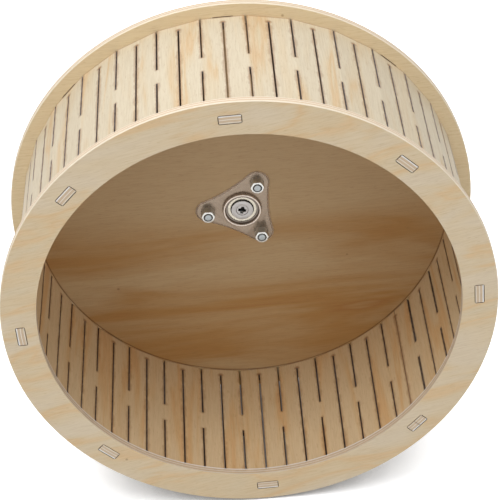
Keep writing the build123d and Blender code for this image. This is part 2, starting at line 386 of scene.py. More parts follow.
def sheet_plywood(name, back, grain_turn, band, reach, tones, offset, plain_share, has_painted_inner_shade):
    """Birch plywood for a flat sheet whose rear face is at Y = back.

    The plain share is how much of the figure is lost in the upper part of the sheet.
    """
    material, tree = new_material(name)
    spot = add(tree, "TexCoord")
    place = add(
        tree,
        "Mapping",
        {
            "Vector": spot.outputs["Object"],
            "Location": offset,
            "Rotation": (0, radians(grain_turn), 0),
        },
    )
    parts = add(tree, "SeparateXYZ", {0: spot.outputs["Object"]})
    calm = add(
        tree,
        "MapRange",
        {0: parts.outputs[2], 1: figure_low, 2: figure_high, 3: 1.0, 4: 1.0 - plain_share},
    )
    colour, height = veneer(tree, place.outputs[0], band, reach, tones, calm.outputs[0])
    depth = add(
        tree, "MapRange", {0: parts.outputs[1], 1: back - ply, 2: back, 3: 0.0, 4: 1.0}
    )
    flat_spot = add(
        tree, "CombineXYZ", {"X": parts.outputs[0], "Y": 0.0, "Z": parts.outputs[2]}
    )
    radius = add(tree, "VectorMath", {0: flat_spot.outputs[0]}, operation="LENGTH")
    inside = add(
        tree, "Math", {0: radius.outputs[1], 1: strip_inner}, operation="LESS_THAN"
    )
    edge = sheet_edge(
        tree, spot.outputs["Object"], depth.outputs[0], radius.outputs[1], inside.outputs[0]
    )
    facing = add(tree, "SeparateXYZ", {0: spot.outputs["Normal"]})
    towards = add(tree, "Math", {0: facing.outputs[1]}, operation="ABSOLUTE")
    is_face = add(
        tree, "Math", {0: towards.outputs[0], 1: face_limit}, operation="GREATER_THAN"
    )
    surface = add(tree, "Mix", {0: is_face.outputs[0], 6: edge, 7: colour}, data_type="RGBA")
    final_colour = surface.outputs[2]
    # The disc's face inside the drum gets painted shade and the joint line.
    if has_painted_inner_shade:
        final_colour = paint_inner_shade_and_joint(
            tree, final_colour, facing.outputs[1], radius.outputs[1], inside.outputs[0]
        )
    bump = add(tree, "Bump", {"Height": height, "Strength": 0.12, "Distance": pore_depth})
    finish_surface(
        tree,
        {
            "Base Color": final_colour,
            "Roughness": 0.62,
            "IOR": 1.5,
            "Normal": bump.outputs[0],
        },
    )
    return material


# %% Two sheets of it
ring_tones = [
    (0.0, "D2C1A3"),
    (0.40, "D5C5AB"),
    (0.50, "D4C1A1"),
    (0.56, "D5B88F"),
    (0.60, "D4BE9A"),
    (0.74, "D2C2A5"),
    (1.0, "CDBC9C"),
]
disc_tones = [
    (0.0, "DCC9A4"),
    (0.36, "DBC7A2"),
    (0.46, "D3B88C"),
    (0.54, "CAA469"),
    (0.60, "C59960"),
    (0.66, "D1B483"),
    (1.0, "DAC59B"),
]
ring_plywood = sheet_plywood(
    "birch_plywood_ring",
    back=ring_back,
    grain_turn=12,
    band=26 * mm,
    reach=90 * mm,
    tones=ring_tones,
    offset=(0.31, 0.0, 0.07),
    plain_share=0.0,
    has_painted_inner_shade=False,
)
disc_plywood = sheet_plywood(
    "birch_plywood_disc",
    back=disc_face + ply,
    grain_turn=2,
    band=32 * mm,
    reach=190 * mm,
    tones=disc_tones,
    offset=(0.20, 0.0, 0.035),
    plain_share=0.8,
    has_painted_inner_shade=True,
)
dress("front_ring", ring_plywood)
dress("back_disc", disc_plywood)

# %% [markdown]
# ## The running strip
# One long strip of the same plywood is bent into the drum. Rows of laser slots make it a living
# hinge: a long slot down the middle of each flat, a pair of short ones where two flats meet.
# Its grain runs across the drum, from disc to ring, so its pattern is laid out along the strip:
# the angle about the spin axis, times the radius, gives the distance along it. The pattern starts
# and ends at the butt seam, where the real strip does.

# %% Places on the strip
def strip_places(tree):
    """Sockets that tell where a point lies on the strip.

    They are the distance across it, the radius, the way outwards, the count of half flats from
    the seam, where slots lie at whole numbers, and the place with the grain along X.
    """
    spot = add(tree, "TexCoord")
    turned = add(
        tree,
        "VectorRotate",
        {"Vector": spot.outputs["Object"], "Angle": seam_angle + pi},
        rotation_type="Y_AXIS",
    )
    parts = add(tree, "SeparateXYZ", {0: turned.outputs[0]})
    angle = add(tree, "Math", {0: parts.outputs[2], 1: parts.outputs[0]}, operation="ARCTAN2")
    flat_spot = add(
        tree, "CombineXYZ", {"X": parts.outputs[0], "Y": 0.0, "Z": parts.outputs[2]}
    )
    radius = add(tree, "VectorMath", {0: flat_spot.outputs[0]}, operation="LENGTH")
    outward = add(tree, "VectorMath", {0: flat_spot.outputs[0]}, operation="NORMALIZE")
    count = add(tree, "Math", {0: angle.outputs[0], 1: 2 / flat_angle}, operation="MULTIPLY")
    run = add(tree, "Math", {0: count.outputs[0], 1: flat_arc / 2}, operation="MULTIPLY")
    place = add(
        tree,
        "CombineXYZ",
        {"X": parts.outputs[1], "Y": radius.outputs[1], "Z": run.outputs[0]},
    )
    return (
        parts.outputs[1],
        radius.outputs[1],
        outward.outputs[0],
        count.outputs[0],
        place.outputs[0],
    )


# %% [markdown]
# The laser leaves soot beside each slot, strongest within a millimetre of it and broken up where
# the smoke was drawn off. Long slots lie at even counts from the seam and the short pairs at odd
# ones, so the soot stops where the wood is whole: at the strip's long edges, or at the bridge
# between the two short slots.

# %% Soot beside the slots
half_flat = flat_arc / 2
halo_narrow = 1.0 * mm / half_flat
halo_wide = 3.2 * mm / half_flat
long_slot_end = 48.9 * mm
long_soot_end = 50.5 * mm
bridge_end = 6.5 * mm
short_soot_start = 8.2 * mm


def slot_soot(tree, place, offset, parity, reach):
    """Share of soot beside the slots. Reach is the distance from the strip's middle line."""
    away = add(tree, "Math", {0: offset}, operation="ABSOLUTE")
    smoke = add(
        tree,
        "TexNoise",
        {"Vector": place, "Scale": 1 / (9 * mm), "Detail": 3.0, "Roughness": 0.6},
    )
    halo_width = add(
        tree,
        "MapRange",
        {0: smoke.outputs[0], 1: 0.35, 2: 0.7, 3: halo_narrow, 4: halo_wide},
    )
    halo = add(
        tree,
        "MapRange",
        {0: away.outputs[0], 1: 0.03, 2: halo_width.outputs[0], 3: 0.62, 4: 0.0},
    )
    beside_long = add(
        tree, "MapRange", {0: reach, 1: long_slot_end, 2: long_soot_end, 3: 1.0, 4: 0.0}
    )
    beside_short = add(
        tree, "MapRange", {0: reach, 1: bridge_end, 2: short_soot_start, 3: 0.0, 4: 1.0}
    )
    beside = add(
        tree,
        "Mix",
        {0: parity, 2: beside_long.outputs[0], 3: beside_short.outputs[0]},
        data_type="FLOAT",
    )
    sooty = add(
        tree, "Math", {0: halo.outputs[0], 1: beside.outputs[0]}, operation="MULTIPLY"
    )
    return sooty.outputs[0]


# %% [markdown]
# The beam pierces the sheet at the disc end of each long slot and leaves a brown spot there. The
# strip's two long edges are cut by the same beam, and carry a brown line.

# %% Pierce marks and brown edges
half_width = (disc_face - ring_back) / 2
pierce_inner = 0.8 * mm
pierce_outer = 2.6 * mm
edge_soot_width = 1.0 * mm


def beam_marks(tree, offset, parity, from_middle, reach):
    """Share of soot in the pierce marks and along the long edges."""
    along = add(tree, "Math", {0: offset, 1: half_flat}, operation="MULTIPLY")
    from_end = add(tree, "Math", {0: from_middle, 1: long_slot_end}, operation="SUBTRACT")
    pierce_spot = add(
        tree, "CombineXYZ", {"X": along.outputs[0], "Y": from_end.outputs[0], "Z": 0.0}
    )
    pierce_away = add(tree, "VectorMath", {0: pierce_spot.outputs[0]}, operation="LENGTH")
    pierce = add(
        tree,
        "MapRange",
        {0: pierce_away.outputs[1], 1: pierce_inner, 2: pierce_outer, 3: 0.75, 4: 0.0},
    )
    even = add(tree, "Math", {0: 1.0, 1: parity}, operation="SUBTRACT")
    pierced = add(
        tree, "Math", {0: pierce.outputs[0], 1: even.outputs[0]}, operation="MULTIPLY"
    )
    edge_soot = add(
        tree,
        "MapRange",
        {0: reach, 1: half_width - edge_soot_width, 2: half_width, 3: 0.0, 4: 0.7},
    )
    marks = add(
        tree, "Math", {0: pierced.outputs[0], 1: edge_soot.outputs[0]}, operation="MAXIMUM"
    )
    return marks.outputs[0]


# %% [markdown]
# The rest of the strip's surface is told apart by its normal: faces look outwards or inwards, slot
# walls look along the strip, and the ends of the tabs, past the ring or the disc, look along Y.
# Slot walls are scorched nearly black and tab ends only lightly.

# %% Faces, slot walls and tab ends
slot_scorch = 0.93
tab_scorch = 0.2
tab_start = 55.5 * mm


def strip_colour(tree, face, place, radius, outward, reach):
    """Put the face colour, the slot walls and the tab ends in their places."""
    depth = add(tree, "MapRange", {0: radius, 1: strip_inner, 2: strip_outer, 3: 0.0, 4: 1.0})
    slot_wall = cut_edge(tree, depth.outputs[0], place, slot_scorch)
    tab_end = cut_edge(tree, depth.outputs[0], place, tab_scorch)
    spot = add(tree, "TexCoord")
    normal = add(
        tree,
        "VectorRotate",
        {"Vector": spot.outputs["Normal"], "Angle": seam_angle + pi},
        rotation_type="Y_AXIS",
    )
    normal_parts = add(tree, "SeparateXYZ", {0: normal.outputs[0]})
    along_axle = add(tree, "Math", {0: normal_parts.outputs[1]}, operation="ABSOLUTE")
    is_end = add(tree, "Math", {0: along_axle.outputs[0], 1: 0.7}, operation="GREATER_THAN")
    past_sheet = add(tree, "Math", {0: reach, 1: tab_start}, operation="GREATER_THAN")
    is_tab = add(
        tree, "Math", {0: is_end.outputs[0], 1: past_sheet.outputs[0]}, operation="MULTIPLY"
    )
    wall = add(tree, "Mix", {0: is_tab.outputs[0], 6: slot_wall, 7: tab_end}, data_type="RGBA")
    outwards = add(
        tree, "VectorMath", {0: normal.outputs[0], 1: outward}, operation="DOT_PRODUCT"
    )
    squareness = add(tree, "Math", {0: outwards.outputs[1]}, operation="ABSOLUTE")
    is_face = add(
        tree, "Math", {0: squareness.outputs[0], 1: face_limit}, operation="GREATER_THAN"
    )
    is_inner = add(tree, "Math", {0: outwards.outputs[1], 1: 0.0}, operation="LESS_THAN")
    # The inner face is tinted warmer and darker than the outer one: partly the two faces of the ply
    # differ, partly it is painted shade and warm bounced light inside the drum.
    side_and_shade_tint = add(
        tree,
        "Mix",
        {0: is_inner.outputs[0], 6: hex_colour("F3EEE6"), 7: hex_colour("F7E5CC")},
        data_type="RGBA",
    )
    two_sided_and_shaded = add(
        tree,
        "Mix",
        {0: 1.0, 6: face, 7: side_and_shade_tint.outputs[2]},
        data_type="RGBA",
        blend_type="MULTIPLY",
    )
    surface = add(
        tree,
        "Mix",
        {0: is_face.outputs[0], 6: wall.outputs[2], 7: two_sided_and_shaded.outputs[2]},
        data_type="RGBA",
    )
    return surface.outputs[2]


# %% Plywood of the strip
strip_band = 11 * mm
strip_reach = 130 * mm


def strip_plywood(name, tones):
    """Birch plywood that follows the bent strip, scorched along its slots."""
    material, tree = new_material(name)
    across, radius, outward, count, place = strip_places(tree)
    colour, height = veneer(tree, place, strip_band, strip_reach, tones)
    nearest = add(tree, "Math", {0: count}, operation="ROUND")
    offset = add(tree, "Math", {0: count, 1: nearest.outputs[0]}, operation="SUBTRACT")
    parity = add(tree, "Math", {0: nearest.outputs[0], 1: 2.0}, operation="FLOORED_MODULO")
    middle_y = (disc_face + ring_back) / 2
    from_middle = add(tree, "Math", {0: across, 1: middle_y}, operation="SUBTRACT")
    reach = add(tree, "Math", {0: from_middle.outputs[0]}, operation="ABSOLUTE")
    soot = slot_soot(
        tree, place, offset.outputs[0], parity.outputs[0], reach.outputs[0]
    )
    marks = beam_marks(
        tree, offset.outputs[0], parity.outputs[0], from_middle.outputs[0], reach.outputs[0]
    )
    all_soot = add(tree, "Math", {0: marks, 1: soot}, operation="MAXIMUM")
    stained = add(
        tree,
        "Mix",
        {0: all_soot.outputs[0], 6: colour, 7: hex_colour("8A5A30")},
        data_type="RGBA",
    )
    surface = strip_colour(
        tree, stained.outputs[2], place, radius, outward, reach.outputs[0]
    )
    bump = add(tree, "Bump", {"Height": height, "Strength": 0.12, "Distance": pore_depth})
    finish_surface(
        tree,
        {
            "Base Color": surface,
            "Roughness": 0.6,
            "IOR": 1.5,
            "Normal": bump.outputs[0],
        },
    )
    return material


strip_tones = [
    (0.0, "D9CFBA"),
    (0.48, "DBD2BE"),
    (0.57, "DACDB4"),
    (0.62, "D9C5A5"),
    (0.66, "D8BE9A"),
    (0.73, "D9CCB0"),
    (1.0, "D8CEB6"),
]
dress("running_strip", strip_plywood("birch_plywood_strip", strip_tones))

# %% [markdown]
# ## Steel and nylon
# The hub is a mix of finishes. The pressed plate and its cup are bright zinc over rolled sheet,
# the bolts and nuts are zinc plated, the bearing is ground steel with tinned shields, and each
# lock nut grips its bolt with a ring of nylon. Metal takes its look from what it mirrors, so
# its colour stays nearly grey and its roughness does most of the work; the pressed plate's dark,
# brownish colour is a painted reflection of the wood round it. The cross recess of the axle
# screw is darkened with painted shade, together with the oil of the punch that struck it.

# %% Painted shade and punch oil in a recess
def paint_recess_shade_and_lubricant(tree, place, colour, top, bottom):
    """Let the colour fall to the dark of painted shade and punch lubricant between two places along
    Y.
    """
    parts = add(tree, "SeparateXYZ", {0: place})
    shade_and_lubricant = add(tree, "MapRange", {0: parts.outputs[1], 1: top, 2: bottom, 3: 0.0, 4: 1.0})
    shaded_and_lubricated = add(
        tree,
        "Mix",
        {0: shade_and_lubricant.outputs[0], 6: colour, 7: hex_colour("2A2825")},
        data_type="RGBA",
    )
    return shaded_and_lubricated.outputs[2]


# %% [markdown]
# Where the surface turns away from Y, the rims are painted lighter and less metallic than the plated
# face: a painted highlight, the thin line of light along a rounded rim.

# %% Painted highlight on the rims
def paint_rim_highlight(tree, normal, colour, rim_metal):
    """Colour and metallic share with a painted highlight on the rims, which are metallic by the rim
    metal.
    """
    turned = add(tree, "SeparateXYZ", {0: normal})
    flatness = add(tree, "Math", {0: turned.outputs[1]}, operation="ABSOLUTE")
    rim_highlight = add(tree, "MapRange", {0: flatness.outputs[0], 1: 0.6, 2: 0.95, 3: 1.0, 4: 0.0})
    bright = add(
        tree,
        "Mix",
        {0: rim_highlight.outputs[0], 6: colour, 7: hex_colour("DCCDBC")},
        data_type="RGBA",
    )
    metallic = add(
        tree, "MapRange", {0: rim_highlight.outputs[0], 1: 0.0, 2: 1.0, 3: 1.0, 4: rim_metal}
    )
    return bright.outputs[2], metallic.outputs[0]


# %% [markdown]
# Every finish has the same fine mottle, which varies its tone and its gloss a little. Each then
# takes its own colour and roughness: about 0.15 for ground steel, 0.25 for rolled and tinned
# sheet, and 0.35 to 0.4 for plated fasteners. The mottle is a few times coarser than real
# plating, so that it shows.

# %% Metal finishes
def metal(name, code, roughness, grain, wave, rim_metal=1.0, recess=None):
    """A plated or ground metal. Grain is the size of its mottle, wave the depth of its bumps."""
    material, tree = new_material(name)
    spot = add(tree, "TexCoord")
    mottle = add(
        tree,
        "TexNoise",
        {"Vector": spot.outputs["Object"], "Scale": 1 / grain, "Detail": 4.0, "Roughness": 0.6},
    )
    tone = add(tree, "MapRange", {0: mottle.outputs[0], 1: 0.3, 2: 0.7, 3: 0.82, 4: 1.0})
    tint = add(
        tree,
        "Mix",
        {0: 1.0, 6: hex_colour(code), 7: tone.outputs[0]},
        data_type="RGBA",
        blend_type="MULTIPLY",
    )
    colour = tint.outputs[2]
    metallic = 1.0
    # A recess gets painted shade, together with its punch oil.
    if recess:
        colour = paint_recess_shade_and_lubricant(tree, spot.outputs["Object"], colour, *recess)
    # A rim metal below one paints a highlight on the rims.
    if rim_metal < 1.0:
        colour, metallic = paint_rim_highlight(tree, spot.outputs["Normal"], colour, rim_metal)
    gloss = add(
        tree,
        "MapRange",
        {0: mottle.outputs[0], 1: 0.3, 2: 0.7, 3: 0.8 * roughness, 4: 1.35 * roughness},
    )
    bump = add(tree, "Bump", {"Height": mottle.outputs[0], "Strength": 0.3, "Distance": wave})
    finish_surface(
        tree,
        {
            "Base Color": colour,
            "Metallic": metallic,
            "Roughness": gloss.outputs[0],
            "Normal": bump.outputs[0],
        },
    )
    return material


# The plate's dark, brownish colour is a painted reflection of the wood round it.
pressed_zinc_painted_reflection = metal(
    "pressed_steel_with_painted_reflection", "897A6B", 0.26, 3 * mm, 0.02 * mm, rim_metal=0.15
)
turned_cup = metal("bright_zinc_on_turned_lip", "C9BDB2", 0.3, 2 * mm, 0.01 * mm)
plated_zinc = metal("zinc_plated_nut_steel", "DCDCD8", 0.38, 1 * mm, 0.01 * mm)
bolt_zinc = metal("zinc_plated_bolt_steel", "9EA3A4", 0.34, 1 * mm, 0.02 * mm)
washer_zinc = metal("dull_zinc_washer_steel", "B3B0AE", 0.42, 1.5 * mm, 0.02 * mm)
ground_steel = metal("ground_bearing_steel", "6F665E", 0.16, 1.5 * mm, 0.005 * mm)
tinned_shield = metal("tinned_shield_steel", "CFC8B8", 0.25, 2 * mm, 0.01 * mm)
print("metal finishes:", len([m for m in bpy.data.materials if "steel" in m.name]))

# %% [markdown]
# The nut inserts and the ball cage are moulded nylon, coloured dark grey and slightly waxy. A
# little light scatters inside it, and its surface has the faint unevenness of the mould.

# %% Nylon
nylon, nylon_tree = new_material("moulded_nylon")
nylon_spot = add(nylon_tree, "TexCoord")
nylon_flow = add(
    nylon_tree,
    "TexNoise",
    {"Vector": nylon_spot.outputs["Object"], "Scale": 1 / (1.2 * mm), "Detail": 2.0},
)
nylon_tone = add(
    nylon_tree,
    "ValToRGB",
    {"Fac": nylon_flow.outputs[0]},
    stops=[(0.3, "33363A"), (0.7, "45494D")],
)
finish_surface(
    nylon_tree,
    {
        "Base Color": nylon_tone.outputs[0],
        "Roughness": 0.42,
        "IOR": 1.53,
        "Subsurface Weight": 0.08,
        "Subsurface Radius": (0.4 * mm, 0.4 * mm, 0.4 * mm),
    },
)
for name in ("bearing_inner_race", "bearing_outer_race", "bearing_balls"):
    dress(name, ground_steel)
for name in ("bearing_cage", "nut_insert_1", "nut_insert_2", "nut_insert_3"):
    dress(name, nylon)

# %% [markdown]
# ## Rounded hub pieces
# Pressed and cut steel never has a knife edge: each edge carries a small radius that catches a
# thin line of light. The CAD solids have sharp edges, so each hub piece is a copy of its node
# with its loose triangles joined, its edges bevelled and its round walls shaded smooth.

# %% Copies with rounded edges
join_distance = 0.002 * mm
flat_limit = radians(0.5)
sharp_limit = radians(28)
smooth_limit = radians(32)


def rounded_copy(node_name, name, width, material, body):
    """Stand in for a CAD node with a copy whose edges are rounded by this width."""
    piece = nodes[node_name].copy()
    piece.data = nodes[node_name].data.copy()
    piece.name = name
    piece.parent = None
    for key in [k for k in piece.keys() if k.startswith("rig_")]:
        del piece[key]
    bpy.context.scene.collection.objects.link(piece)
    bpy.ops.object.select_all(action="DESELECT")
    piece.select_set(True)
    bpy.context.view_layer.objects.active = piece
    bpy.ops.mesh.customdata_custom_splitnormals_clear()
    bpy.ops.object.mode_set(mode="EDIT")
    bpy.ops.mesh.select_all(action="SELECT")
    bpy.ops.mesh.remove_doubles(threshold=join_distance)
    bpy.ops.mesh.dissolve_limited(angle_limit=flat_limit)
    bpy.ops.object.mode_set(mode="OBJECT")
    bevel = piece.modifiers.new("edge_radius", "BEVEL")
    bevel.width = width
    bevel.segments = 3
    bevel.limit_method = "ANGLE"
    bevel.angle_limit = sharp_limit
    bevel.use_clamp_overlap = True
    bpy.ops.object.modifier_apply(modifier=bevel.name)
    bpy.ops.object.shade_smooth_by_angle(angle=smooth_limit)
    piece.data.materials.clear()
    piece.data.materials.append(material)
    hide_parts(node_name)
    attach(piece, body)
    print(name, "faces:", len(piece.data.polygons))


# %% Hub pieces with rounded edges
rounded_copy("flange_plate", "pressed_plate", 0.42 * mm, pressed_zinc_painted_reflection, "wheel")
rounded_copy("bearing_cup", "pressed_cup", 0.12 * mm, turned_cup, "wheel")
rounded_copy("retaining_washer", "flat_washer", 0.1 * mm, washer_zinc, "axle")
rounded_copy("wall_washer", "wide_washer", 0.15 * mm, washer_zinc, "axle")
for number in (1, 2, 3):
    for node_name, name, width in (
        ("clamp_bolt", "pan_head_bolt", 0.14 * mm),
        ("bolt_washer", "small_washer", 0.12 * mm),
    ):
        rounded_copy(
            f"{node_name}_{number}", f"{name}_{number}", width, bolt_zinc, "wheel"
        )

# %% [markdown]
# ## Turned pieces
# Nut collars, screw heads and bearing shields are all turned or pressed round one axis. Each starts
# as one filled circle facing the open side, which is then pushed out and scaled step by step, the
# way a lathe tool steps along a bar.

# %% Stepped round pieces
def round_stack(name, centre, steps, sides):
    """Build a round solid from steps of radius and height, both in metres."""
    radius, height = steps[0]
    bpy.ops.object.select_all(action="DESELECT")
    bpy.ops.mesh.primitive_circle_add(
        vertices=sides,
        radius=radius,
        fill_type="NGON",
        location=(centre.x, -height, centre.z),
        rotation=(radians(90), 0, 0),
    )
    piece = bpy.context.object
    piece.name = name
    bpy.ops.object.transform_apply(location=True, rotation=True, scale=True)
    bpy.ops.object.mode_set(mode="EDIT")
    bpy.ops.mesh.select_all(action="SELECT")
    for new_radius, new_height in steps[1:]:
        bpy.ops.mesh.extrude_region_move(
            TRANSFORM_OT_translate={"value": (0, height - new_height, 0)}
        )
        share = new_radius / radius
        bpy.ops.transform.resize(
            value=(share, 1, share), center_override=(centre.x, -new_height, centre.z)
        )
        radius, height = new_radius, new_height
    bpy.ops.mesh.select_all(action="SELECT")
    bpy.ops.mesh.normals_make_consistent(inside=False)
    bpy.ops.object.mode_set(mode="OBJECT")
    return piece


# %% [markdown]
# Some shapes are one form cut by another, and each finished piece has to be shaded, given its
# finish and put in place of its CAD node. These small helpers do that.

# %% Cutting and seating
def cut_with(piece, tool, operation):
    """Apply a boolean with another object, then delete that object."""
    bpy.ops.object.select_all(action="DESELECT")
    piece.select_set(True)
    bpy.context.view_layer.objects.active = piece
    boolean = piece.modifiers.new("cut", "BOOLEAN")
    boolean.operation = operation
    boolean.solver = "EXACT"
    boolean.object = tool
    bpy.ops.object.modifier_apply(modifier=boolean.name)
    bpy.data.objects.remove(tool)


def seat(piece, material, body, slot, *node_names):
    """Shade a finished piece, give it its material, and put it in its nodes' place."""
    bpy.ops.object.select_all(action="DESELECT")
    piece.select_set(True)
    bpy.context.view_layer.objects.active = piece
    bpy.ops.object.shade_smooth_by_angle(angle=smooth_limit)
    piece.data.materials.clear()
    piece.data.materials.append(material)
    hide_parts(*node_names)
    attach(piece, body)
    print(piece.name, "faces:", len(piece.data.polygons))


def middle_of(node_name):
    """Centre of a node's box."""
    low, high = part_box(node_name)
    return (low + high) / 2


axis_spot = Vector((0, 0, 0))
print("nut 1 sits at mm:", [round(c / mm, 1) for c in middle_of("lock_nut_1")])

# %% [markdown]
# ### Lock nuts
# A lock nut starts as hexagon bar. Its corners are turned off at thirty degrees, and a round
# collar above them is crimped over the nylon ring. So the hexagon is cut by a turned envelope.

# %% Sizes of a lock nut
nut_low, nut_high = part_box("lock_nut_1")
nut_base = -nut_high.y
nut_top = -nut_low.y
half_flats = (nut_high.z - nut_low.z) / 2
corner = 2 * half_flats / 3**0.5
hex_top = nut_base + 5.5 * mm
collar_radius = 4.45 * mm
collar_edge = 0.45 * mm
mouth_radius = 3.1 * mm
mouth_floor = nut_top - 0.9 * mm
thread_hole = 2.4 * mm
chamfer_slope = 0.58  # the tangent of thirty degrees
chamfer_drop = (corner - half_flats) * chamfer_slope
print("nut across flats mm:", round(2 * half_flats / mm, 2))

# %% One lock nut
first_spot = middle_of("lock_nut_1")
bpy.ops.object.select_all(action="DESELECT")
bpy.ops.mesh.primitive_cylinder_add(
    vertices=6,
    radius=corner,
    depth=nut_top - nut_base,
    location=(first_spot.x, -(nut_base + nut_top) / 2, first_spot.z),
    rotation=(radians(90), radians(30), 0),
)
nut = bpy.context.object
nut.name = "lock_nut_body_1"
bpy.ops.object.transform_apply(location=True, rotation=True, scale=True)
envelope = round_stack(
    "nut_envelope",
    first_spot,
    (
        (corner * 1.02, nut_base - 0.1 * mm),
        (corner * 1.02, hex_top - chamfer_drop),
        (collar_radius, hex_top),
        (collar_radius, nut_top - 0.5 * mm),
        (collar_radius - 0.12 * mm, nut_top - 0.2 * mm),
        (collar_radius - collar_edge, nut_top - 0.02 * mm),
        (mouth_radius, nut_top),
        (mouth_radius, mouth_floor),
        (thread_hole, mouth_floor),
    ),
    48,
)
cut_with(nut, envelope, "INTERSECT")

# %% Three lock nuts
nut_bodies = [nut]
for number in (2, 3):
    twin = nut.copy()
    twin.data = nut.data.copy()
    twin.name = f"lock_nut_body_{number}"
    twin.data.transform(Matrix.Translation(middle_of(f"lock_nut_{number}") - first_spot))
    bpy.context.scene.collection.objects.link(twin)
    nut_bodies.append(twin)
for number, piece in enumerate(nut_bodies, start=1):
    seat(piece, plated_zinc, "wheel", "zinc_steel", f"lock_nut_{number}")

# %% [markdown]
# ### Axle screw
# The screw that keeps the wheel on has a flat countersunk head with a cross recess: four arms that
# stand round a middle that narrows towards the bottom, punched in one blow. Two bars and a
# four-sided cone are taken out of the head for it.

# %% Axle screw
screw_low, screw_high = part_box("axle_screw")
screw_face = -screw_low.y
screw_end = -screw_high.y
screw = round_stack(
    "countersunk_screw",
    axis_spot,
    (
        (1.6 * mm, screw_end),
        (2.0 * mm, screw_end + 0.5 * mm),
        (2.0 * mm, screw_face - 2.0 * mm),
        (3.8 * mm, screw_face - 0.12 * mm),
        (3.62 * mm, screw_face),
        (3.2 * mm, screw_face),
    ),
    64,
)

# %% Cross recess
recess_depth = 3.0 * mm
recess_turn = 12
arm_length = 5.3 * mm
arm_width = 2.0 * mm
heart_wide = 2.75 * mm
heart_narrow = 0.7 * mm
for turn in (0, 90):
    bpy.ops.object.select_all(action="DESELECT")
    bpy.ops.mesh.primitive_cube_add(
        size=1,
        location=(0, -screw_face, 0),
        rotation=(0, radians(turn + recess_turn), 0),
        scale=(arm_length, 2 * recess_depth, arm_width),
    )
    arm = bpy.context.object
    bpy.ops.object.transform_apply(location=True, rotation=True, scale=True)
    cut_with(screw, arm, "DIFFERENCE")
bpy.ops.mesh.primitive_cone_add(
    vertices=4,
    radius1=heart_narrow,
    radius2=heart_wide,
    depth=recess_depth,
    location=(0, -screw_face + recess_depth / 2 - 0.02 * mm, 0),
    rotation=(radians(90), radians(recess_turn), 0),
)
heart = bpy.context.object
bpy.ops.object.transform_apply(location=True, rotation=True, scale=True)
cut_with(screw, heart, "DIFFERENCE")
screw_zinc = metal(
    "zinc_plated_screw_steel",
    "B3B0AE",
    0.4,
    1 * mm,
    0.01 * mm,
    recess=(-screw_face + 0.05 * mm, -screw_face + 0.7 * mm),
)
seat(screw, screw_zinc, "axle", "zinc_steel", "axle_screw")

# %% [markdown]
# ### Bearing shields
# A shield is thin tinned sheet, pressed with a shallow step and crimped into the outer race.

# Its two flat round ends are the only faces with many corners; they are deleted, and the two open
# rims are bridged, which leaves the hole.

# %% Bearing shields
most_corners = 8
for node_name, name, outwards in (
    ("front_shield", "stepped_shield_front", 1),
    ("rear_shield", "stepped_shield_rear", -1),
):
    shield_low, shield_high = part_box(node_name)
    outer = shield_high.x
    face_height = -shield_low.y if outwards > 0 else -shield_high.y
    back_height = -shield_high.y if outwards > 0 else -shield_low.y
    step = (face_height - back_height) * 0.45
    shield = round_stack(
        name,
        axis_spot,
        (
            (7.65 * mm, back_height),
            (outer, back_height),
            (outer, face_height - step),
            (outer - 0.12 * mm, face_height),
            (outer - 0.45 * mm, face_height),
            (outer - 0.62 * mm, face_height - step),
            (8.2 * mm, face_height - step),
            (8.05 * mm, face_height),
            (7.7 * mm, face_height),
            (7.6 * mm, face_height - 0.08 * mm),
            (7.6 * mm, back_height + (face_height - back_height) * 0.1),
        ),
        96,
    )
    bpy.ops.object.mode_set(mode="EDIT")
    bpy.ops.mesh.select_all(action="DESELECT")
    bpy.ops.object.mode_set(mode="OBJECT")
    for face in shield.data.polygons:
        face.select = len(face.vertices) > most_corners
    bpy.ops.object.mode_set(mode="EDIT")
    bpy.ops.mesh.delete(type="FACE")
    bpy.ops.mesh.select_all(action="DESELECT")
    bpy.ops.mesh.select_non_manifold()
    bpy.ops.mesh.bridge_edge_loops()
    bpy.ops.mesh.select_all(action="SELECT")
    bpy.ops.mesh.normals_make_consistent(inside=False)
    bpy.ops.object.mode_set(mode="OBJECT")
    seat(shield, tinned_shield, "wheel", "shield_steel", node_name)

# %% [markdown]
# ### Threaded stud
# Behind the wall plane the axle ends in an M8 stud, 1.25 mm pitch. The axle is a rounded copy of its
# solid, cut off at the thread and given a core; one ridge of the thread is drawn as a V and carried
# round and along by the screw modifier.

# %% Axle and the core of its stud
axle_low, axle_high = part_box("axle")
stud_end = axle_high.y
pitch = 1.25 * mm
crest = 4.0 * mm
root = 3.32 * mm
cut_place = 0.6 * mm
core_radius = root + 0.02 * mm
rounded_copy("axle", "shouldered_axle", 0.15 * mm, bolt_zinc, "axle")
bpy.ops.object.mode_set(mode="EDIT")
bpy.ops.mesh.select_all(action="SELECT")
bpy.ops.mesh.bisect(
    plane_co=(0, cut_place, 0), plane_no=(0, 1, 0), clear_outer=True, use_fill=True
)
bpy.ops.object.mode_set(mode="OBJECT")
core = round_stack(
    "stud_core",
    axis_spot,
    ((root - 0.3 * mm, -stud_end), (core_radius, -stud_end + 0.5 * mm), (core_radius, 0)),
    48,
)
print("axle runs from mm:", round(axle_low.y / mm, 1), "to", round(stud_end / mm, 1))

